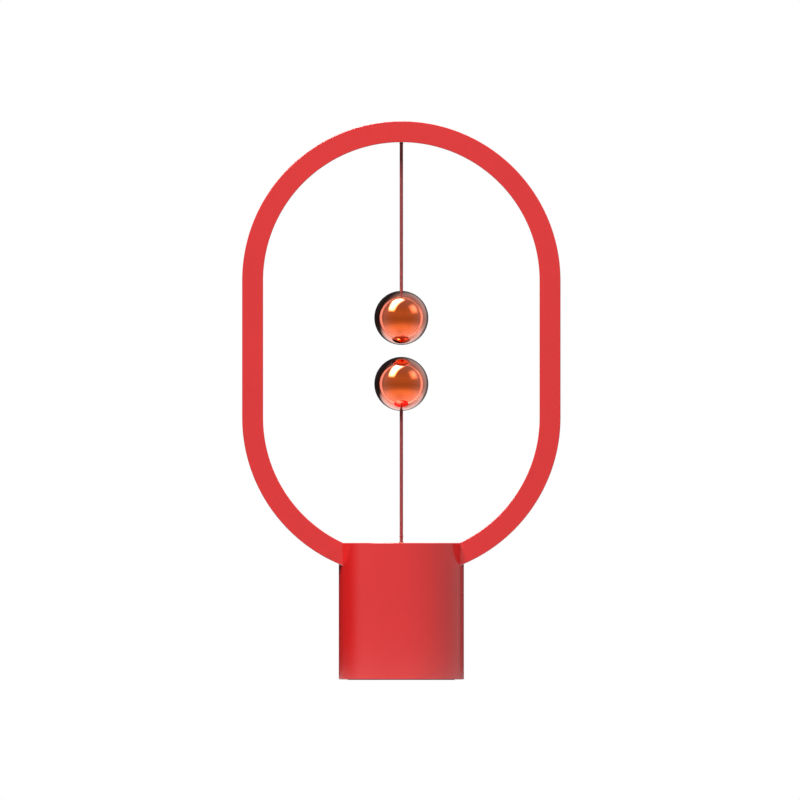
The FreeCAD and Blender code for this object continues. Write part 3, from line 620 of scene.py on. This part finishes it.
def oval_bar(name, width, height, y0, y1):
    """Bar along Y with a flat oval section, at the height of the socket."""
    bpy.ops.mesh.primitive_cylinder_add(vertices=96, radius=height / 2, depth=y1 - y0,
                                        rotation=(math.pi / 2, 0, 0))
    bar = bpy.context.object
    bar.name = name
    bpy.ops.object.transform_apply(rotation=True)
    bpy.ops.object.mode_set(mode="EDIT")
    bpy.ops.transform.translate(value=(0, (y0 + y1) / 2, socket_middle))
    for side in (-1, 1):
        choose("verts", lambda at: at.x * side > 0.000001)
        bpy.ops.transform.translate(value=(side * (width - height) / 2, 0, 0))
    bpy.ops.object.mode_set(mode="OBJECT")
    return bar


cut_out(base_wall, oval_bar("pocket_tool", pocket_width, pocket_height,
                            pocket_floor, pocket_tool_end))
cut_out(base_wall, oval_bar("opening_tool", socket_width + socket_room,
                            socket_height + socket_room, opening_start, base_radius))
wear(base_wall, red_material)
smooth(base_wall)
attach(base_wall, "stand")
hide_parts("base_body")

eyelet_low, eyelet_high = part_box("cord_eyelet")
flange_radius = eyelet_high.x
flange_thickness = 0.0005
flange_underside = base_top - flange_thickness
barrel_radius = 0.00165
eyelet_gap = 0.00005
flange_seat = flange_radius + eyelet_gap
barrel_seat = barrel_radius + eyelet_gap
lid_gap = 0.0001
lid_radius = rim_radius - lid_gap
base_lid = turned(
    "base_lid",
    [(lid_radius, lid_underside), (lid_radius, base_top),
     (flange_seat, base_top), (flange_seat, flange_underside),
     (barrel_seat, flange_underside), (barrel_seat, lid_underside)],
    [(1, rim_edge_round, 2)],
)
cut_out(base_lid, arm_slot_tool())
wear(base_lid, red_finish("polished_red", 0.12))
smooth(base_lid)
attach(base_lid, "stand")
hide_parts("base_top_cap")


# ---- Cord eyelet ----
# A small copper-coloured brass eyelet, turned on a lathe and let in flush with the lid. Its
# polished lip stops the lower cord from rubbing on the plastic.

lip_radius = 0.0011
bore_radius = 0.00085
flare_wall = 0.0003
flare_radius = barrel_radius + flare_wall
bore_edge_round = 0.00008
lip_edge_round = 0.0001
flange_edge_round = 0.0001
slant_power = 1.6


def copper_finish(name, roughness):
    """Polished copper plating, a little paler where it is seen aslant."""
    material, nodes, links, shader = new_material(name)
    cloud = object_noise(nodes, links, 0.004)
    haze = object_noise(nodes, links, 0.0008)
    facing = nodes.new("ShaderNodeLayerWeight")
    slant = nodes.new("ShaderNodeMath")
    slant.operation = "POWER"
    slant.inputs[1].default_value = slant_power
    links.new(facing.outputs["Facing"], slant.inputs[0])
    paler = nodes.new("ShaderNodeMix")
    paler.data_type = "RGBA"
    paler.inputs["B"].default_value = (0.95, 0.93, 0.92, 1)
    links.new(slant.outputs["Value"], paler.inputs["Factor"])
    copper = ramp(nodes, links, cloud, (0.90, 0.130, 0.020), (0.93, 0.150, 0.030))
    links.new(copper, paler.inputs["A"])
    links.new(paler.outputs["Result"], shader.inputs["Base Color"])
    gloss = span(nodes, links, haze, roughness * 0.8, roughness * 1.2)
    links.new(gloss, shader.inputs["Roughness"])
    shader.inputs["Metallic"].default_value = 1.0
    return material


eyelet = turned(
    "turned_cord_eyelet",
    [(bore_radius, eyelet_low.z), (bore_radius, eyelet_high.z),
     (lip_radius, eyelet_high.z), (lip_radius, base_top),
     (flange_radius, base_top), (flange_radius, flange_underside),
     (barrel_radius, flange_underside), (barrel_radius, lid_underside),
     (flare_radius, lid_underside), (flare_radius, eyelet_low.z)],
    [(1, bore_edge_round, 3), (2, lip_edge_round, 3), (4, flange_edge_round, 2)],
    sides=96,
)
wear(eyelet, copper_finish("polished_copper_lip", 0.16))
smooth(eyelet)
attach(eyelet, "stand")
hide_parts("cord_eyelet")


# ---- Balls ----
# Two hollow balls, 24.2 mm across, pressed in two halves, polished to a mirror and plated
# with copper. Each has one hole for its cord, with a rounded edge. The magnet sits inside,
# at the side that faces the other ball.

ball_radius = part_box("upper_ball_top_shell")[1].x
ball_wall = 0.0012
ball_segments = 192
ball_rings = 96
cord_hole_radius = 0.00085
pole_cap_radius = 0.0009
hole_ring_radius = 0.0013

ball_material = copper_finish("copper_mirror", 0.05)


def plated_ball(name, hole_side):
    """Hollow ball round the origin with a cord's hole at its top or bottom pole."""
    bpy.ops.mesh.primitive_uv_sphere_add(segments=ball_segments, ring_count=ball_rings,
                                         radius=ball_radius)
    ball = bpy.context.object
    ball.name = name
    hole_height = math.sqrt(ball_radius ** 2 - cord_hole_radius ** 2)
    bpy.ops.object.mode_set(mode="EDIT")
    choose("verts", lambda at: math.hypot(at.x, at.y) < pole_cap_radius and at.z * hole_side > 0)
    bpy.ops.mesh.delete(type="VERT")
    choose("verts", lambda at: math.hypot(at.x, at.y) < hole_ring_radius and at.z * hole_side > 0)
    vertices = bmesh.from_edit_mesh(ball.data).verts
    rim = min(vertex.co.xy.length for vertex in vertices if vertex.select)
    rim_height = math.sqrt(ball_radius ** 2 - rim ** 2)
    shrink = cord_hole_radius / rim
    bpy.ops.transform.resize(value=(shrink, shrink, 1), center_override=(0, 0, 0))
    bpy.ops.transform.translate(value=(0, 0, hole_side * (hole_height - rim_height)))
    bpy.ops.object.mode_set(mode="OBJECT")
    wall = ball.modifiers.new("wall", "SOLIDIFY")
    wall.thickness = ball_wall
    wall.offset = -1
    bpy.ops.object.modifier_apply(modifier=wall.name)
    bpy.ops.object.shade_smooth_by_angle(angle=math.radians(35))
    return ball


def place_ball(ball, middle, body, *nodes):
    """Moves a ball's mesh to its height and hangs it on its body."""
    bpy.ops.object.mode_set(mode="EDIT")
    bpy.ops.mesh.select_all(action="SELECT")
    bpy.ops.transform.translate(value=(0, 0, middle))
    bpy.ops.object.mode_set(mode="OBJECT")
    wear(ball, ball_material)
    ball.select_set(False)
    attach(ball, body)
    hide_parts(*nodes)


upper_ball_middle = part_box("upper_ball_top_shell")[1].z - ball_radius
lower_ball_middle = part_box("lower_ball_bottom_shell")[0].z + ball_radius
place_ball(plated_ball("upper_copper_ball", 1), upper_ball_middle, "upper_ball",
           "upper_ball_top_shell", "upper_ball_bottom_shell")
place_ball(plated_ball("lower_copper_ball", -1), lower_ball_middle, "lower_ball",
           "lower_ball_top_shell", "lower_ball_bottom_shell")


# ---- Foot pad ----
# A disc of closed-cell foam rubber, cut from sheet and glued into the bottom cover. It stands
# a little proud of the cover and keeps the lamp from sliding.

pad_low, pad_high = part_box("foot_pad")
pad_edge_round = 0.0003
pores_per_metre = 2200


def foam_finish():
    """Charcoal foam rubber with fine open pores in its skin, with painted shade that makes it
    darker inside the pores.
    """
    material, nodes, links, shader = new_material("charcoal_foam")
    pores = nodes.new("ShaderNodeTexVoronoi")
    pores.inputs["Scale"].default_value = pores_per_metre
    place = nodes.new("ShaderNodeTexCoord")
    links.new(place.outputs["Object"], pores.inputs["Vector"])
    # Painted shade: the colour is darkest in the pores, where the bump sinks.
    colour = ramp(nodes, links, pores.outputs["Distance"],
                  (0.010, 0.010, 0.011), (0.035, 0.034, 0.036), low=0.05, high=0.6)
    links.new(colour, shader.inputs["Base Color"])
    shader.inputs["Roughness"].default_value = 0.9
    relief(nodes, links, pores.outputs["Distance"], shader, height=0.00006)
    return material


bpy.ops.mesh.primitive_cylinder_add(vertices=192, radius=pad_high.x,
                                    depth=pad_high.z - pad_low.z)
foot_pad = bpy.context.object
foot_pad.name = "foam_foot_pad"
bpy.ops.object.mode_set(mode="EDIT")
bpy.ops.transform.translate(value=(0, 0, (pad_low.z + pad_high.z) / 2))
choose("edges", lambda at: near(at.z, pad_low.z) and math.hypot(at.x, at.y) > pad_high.x / 2)
bpy.ops.mesh.bevel(offset=pad_edge_round, segments=3, affect="EDGES")
bpy.ops.object.mode_set(mode="OBJECT")
wear(foot_pad, foam_finish())
smooth(foot_pad)
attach(foot_pad, "stand")
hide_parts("foot_pad")


# ---- Parts inside ----
# Everything inside the base, the loop and the balls keeps its own shape and gets the
# finish of its material: mouldings, steel, brass, nickel plate, board and wires.

def plastic_finish(name, colour, roughness):
    """Moulded engineering plastic, slightly mottled."""
    material, nodes, links, shader = new_material(name)
    cloud = object_noise(nodes, links, 0.006)
    grain = object_noise(nodes, links, 0.0003)
    darker = [0.85 * part for part in colour]
    links.new(ramp(nodes, links, cloud, darker, colour), shader.inputs["Base Color"])
    gloss = span(nodes, links, grain, roughness - 0.06, roughness + 0.06)
    links.new(gloss, shader.inputs["Roughness"])
    relief(nodes, links, grain, shader, height=0.00001, strength=0.4)
    return material


def metal_finish(name, colour, roughness, stretch=(1, 1, 1)):
    """Bare or plated metal with fine tool marks along the long side of the stretch."""
    material, nodes, links, shader = new_material(name)
    marks = object_noise(nodes, links, 0.0004, stretch=stretch)
    darker = [0.88 * part for part in colour]
    links.new(ramp(nodes, links, marks, darker, colour), shader.inputs["Base Color"])
    gloss = span(nodes, links, marks, roughness * 0.8, roughness * 1.25)
    links.new(gloss, shader.inputs["Roughness"])
    shader.inputs["Metallic"].default_value = 1.0
    relief(nodes, links, marks, shader, height=0.000004, strength=0.5)
    return material


inner_finishes = {
    "turned_brass": metal_finish("turned_brass", (0.80, 0.42, 0.20), 0.3, (1, 1, 6)),
    "zinc_screw": metal_finish("zinc_plated_steel", (0.62, 0.62, 0.60), 0.35),
    "spring_steel": metal_finish("spring_steel", (0.55, 0.55, 0.56), 0.28, (4, 1, 1)),
    "raw_steel": metal_finish("cold_rolled_steel", (0.36, 0.36, 0.38), 0.45, (1, 6, 1)),
    "magnet_nickel": metal_finish("nickel_plate", (0.66, 0.64, 0.60), 0.12),
    "can_aluminium": metal_finish("drawn_aluminium", (0.70, 0.70, 0.72), 0.3, (1, 1, 5)),
    "black_plastic": plastic_finish("black_moulding", (0.030, 0.030, 0.032), 0.5),
    "natural_plastic": plastic_finish("natural_moulding", (0.72, 0.70, 0.64), 0.45),
    "board_green": plastic_finish("green_board", (0.02, 0.16, 0.06), 0.35),
    "strip_white": plastic_finish("white_strip", (0.80, 0.80, 0.76), 0.4),
    "led_yellow": plastic_finish("phosphor_yellow", (0.85, 0.68, 0.18), 0.35),
    "wire_red": plastic_finish("red_wire_sleeve", (0.45, 0.02, 0.02), 0.45),
    "ferrite_grey": plastic_finish("grey_ferrite", (0.10, 0.10, 0.11), 0.7),
}
for part in frame["record"]["subparts"]:
    node = frame["nodes"][part["node"]]
    if part["material_slot"] in inner_finishes and not node.hide_render:
        wear(node, inner_finishes[part["material_slot"]])


# ---- Studio ----
# A pale round floor that fades out and shows from above only, a large soft lamp high at the
# front left, a smaller one at the right and one behind. The studio walls, with two bright
# windows, show only in what is glossy.

floor_radius = 0.42
floor_drop = 0.0001
floor_fade_start = 0.12
floor_fade_end = 0.38
floor_pale = 0.66
floor_bounce = 0.20


def seen_directly(nodes, links):
    """1 for rays from the camera and for what shows in gloss or through glass, else 0."""
    rays = nodes.new("ShaderNodeLightPath")
    total = rays.outputs["Is Camera Ray"]
    for name in ("Is Glossy Ray", "Is Transmission Ray"):
        most = nodes.new("ShaderNodeMath")
        most.operation = "MAXIMUM"
        links.new(total, most.inputs[0])
        links.new(rays.outputs[name], most.inputs[1])
        total = most.outputs["Value"]
    return total


def product(nodes, links, first, second):
    """The product of two numbers."""
    times = nodes.new("ShaderNodeMath")
    times.operation = "MULTIPLY"
    links.new(first, times.inputs[0])
    links.new(second, times.inputs[1])
    return times.outputs["Value"]


bpy.ops.mesh.primitive_circle_add(vertices=128, radius=floor_radius, fill_type="NGON",
                                  location=(0, 0, -floor_drop))
floor = bpy.context.object
floor.name = "studio_floor"
material, nodes, links, shader = new_material("pale_floor")
paleness = nodes.new("ShaderNodeMapRange")
paleness.inputs["To Min"].default_value = floor_bounce
paleness.inputs["To Max"].default_value = floor_pale
links.new(seen_directly(nodes, links), paleness.inputs["Value"])
links.new(paleness.outputs["Result"], shader.inputs["Base Color"])
shader.inputs["Roughness"].default_value = 0.9
shader.inputs["Specular IOR Level"].default_value = 0.0
place = nodes.new("ShaderNodeTexCoord")
from_middle = nodes.new("ShaderNodeVectorMath")
from_middle.operation = "LENGTH"
links.new(place.outputs["Object"], from_middle.inputs[0])
fade = nodes.new("ShaderNodeMapRange")
fade.interpolation_type = "SMOOTHSTEP"
fade.inputs["From Min"].default_value = floor_fade_start
fade.inputs["From Max"].default_value = floor_fade_end
fade.inputs["To Min"].default_value = 1.0
fade.inputs["To Max"].default_value = 0.0
links.new(from_middle.outputs["Value"], fade.inputs["Value"])
sides = nodes.new("ShaderNodeNewGeometry")
upper_side = nodes.new("ShaderNodeMath")
upper_side.operation = "SUBTRACT"
upper_side.inputs[0].default_value = 1.0
links.new(sides.outputs["Backfacing"], upper_side.inputs[1])
cover = product(nodes, links, fade.outputs["Result"], upper_side.outputs["Value"])
links.new(cover, shader.inputs["Alpha"])
wear(floor, material)
floor.select_set(False)

wall_radius = 1.6
wall_glow = ((-1.0, 0.74), (-0.42, 0.74), (-0.22, 0.52), (-0.05, 0.40),
             (0.05, 0.38), (0.45, 0.50), (0.8, 0.38), (1.0, 0.38))
dark_side = Vector((-0.60, 0.76, 0.24))
dark_glow = 0.045
back_side = Vector((0.22, 0.97, 0.0))
back_glow = 0.25


def towards(nodes, links, direction, low, high, from_glow, to_glow):
    """Number that goes softly from one glow to the other as a direction from the middle
    comes nearer to the given one: its share along it goes from low to high."""
    place = nodes.new("ShaderNodeTexCoord")
    share = nodes.new("ShaderNodeVectorMath")
    share.operation = "DOT_PRODUCT"
    share.inputs[1].default_value = direction.normalized() / wall_radius
    links.new(place.outputs["Object"], share.inputs[0])
    glow = nodes.new("ShaderNodeMapRange")
    glow.interpolation_type = "SMOOTHSTEP"
    glow.inputs["From Min"].default_value = low
    glow.inputs["From Max"].default_value = high
    glow.inputs["To Min"].default_value = from_glow
    glow.inputs["To Max"].default_value = to_glow
    links.new(share.outputs["Value"], glow.inputs["Value"])
    return glow.outputs["Result"]


def soft_window(nodes, links, direction, width, height, turn, edge, glow):
    """Soft-edged oblong light on the walls, its sizes given at one metre."""
    across = Vector((0, 0, 1)).cross(direction).normalized()
    up = direction.normalized().cross(across)
    turned_across = across * math.cos(turn) + up * math.sin(turn)
    turned_up = up * math.cos(turn) - across * math.sin(turn)
    level = towards(nodes, links, direction, low=0.3, high=0.5, from_glow=0.0, to_glow=glow)
    for side, half in ((turned_across, width / 2), (-turned_across, width / 2),
                       (turned_up, height / 2), (-turned_up, height / 2)):
        reach = math.sin(math.atan(half))
        inside = towards(nodes, links, side, low=reach - edge, high=reach + edge,
                         from_glow=1.0, to_glow=0.0)
        level = product(nodes, links, level, inside)
    return level


bpy.ops.mesh.primitive_uv_sphere_add(segments=64, ring_count=32, radius=wall_radius)
studio_walls = bpy.context.object
studio_walls.name = "studio_walls"
material, nodes, links, shader = new_material("studio_walls")
place = nodes.new("ShaderNodeTexCoord")
split = nodes.new("ShaderNodeSeparateXYZ")
links.new(place.outputs["Object"], split.inputs["Vector"])
rise = nodes.new("ShaderNodeMapRange")
rise.inputs["From Min"].default_value = -wall_radius
rise.inputs["From Max"].default_value = wall_radius
links.new(split.outputs["Z"], rise.inputs["Value"])
bands = nodes.new("ShaderNodeValToRGB")
stops = bands.color_ramp.elements
stops.remove(stops[1])
for number, (height, level) in enumerate(wall_glow):
    stop = stops.new((height + 1) / 2) if number else stops[0]
    stop.color = (level, level, level, 1)
links.new(rise.outputs["Result"], bands.inputs["Fac"])
dark_patch = towards(nodes, links, dark_side, low=0.42, high=0.86,
                     from_glow=1.0, to_glow=dark_glow)
back_patch = towards(nodes, links, back_side, low=0.78, high=0.94,
                     from_glow=1.0, to_glow=back_glow)
glow = product(nodes, links, bands.outputs["Color"], dark_patch)
glow = product(nodes, links, glow, back_patch)
key_window = soft_window(nodes, links, direction=Vector((-0.350, -0.290, 0.890)),
                         width=0.33, height=0.98, turn=math.radians(4), edge=0.13, glow=20.0)
side_window = soft_window(nodes, links, direction=Vector((0.70, -0.36, 0.62)),
                          width=0.42, height=0.42, turn=0.0, edge=0.16, glow=1.7)
for window in (key_window, side_window):
    both = nodes.new("ShaderNodeMath")
    links.new(glow, both.inputs[0])
    links.new(window, both.inputs[1])
    glow = both.outputs["Value"]
shader.inputs["Base Color"].default_value = (0, 0, 0, 1)
shader.inputs["Specular IOR Level"].default_value = 0.0
shader.inputs["Emission Color"].default_value = (1, 1, 1, 1)
links.new(glow, shader.inputs["Emission Strength"])
wear(studio_walls, material)
studio_walls.visible_camera = False
studio_walls.visible_diffuse = False
studio_walls.visible_transmission = False
studio_walls.visible_shadow = False
studio_walls.select_set(False)

lit_middle = Vector((0, 0, 0.15))


def soft_lamp(name, offset, size, power):
    """Square soft lamp at an offset from the lamp's middle, facing it."""
    bpy.ops.object.light_add(type="AREA", location=lit_middle + Vector(offset))
    lamp = bpy.context.object
    lamp.name = name
    lamp.data.shape = "SQUARE"
    lamp.data.size = size
    lamp.data.energy = power
    lamp.rotation_euler = Vector(offset).to_track_quat("Z", "Y").to_euler()
    lamp.visible_camera = False
    lamp.visible_glossy = False
    lamp.select_set(False)


soft_lamp("key_lamp", (-1.20, -1.70, 2.32), size=1.5, power=152.0)
soft_lamp("side_lamp", (1.66, -0.65, 0.90), size=0.5, power=17.5)
soft_lamp("back_lamp", (0.35, 1.85, 0.60), size=1.0, power=36.0)

ambient_light = 0.05
world = bpy.data.worlds.new("white_studio")
bpy.context.scene.world = world
world.use_nodes = True
nodes = world.node_tree.nodes
links = world.node_tree.links
brightness = nodes.new("ShaderNodeMapRange")
brightness.inputs["To Min"].default_value = ambient_light
brightness.inputs["To Max"].default_value = 1.0
links.new(seen_directly(nodes, links), brightness.inputs["Value"])
nodes["Background"].inputs["Color"].default_value = (1, 1, 1, 1)
links.new(brightness.outputs["Result"], nodes["Background"].inputs["Strength"])
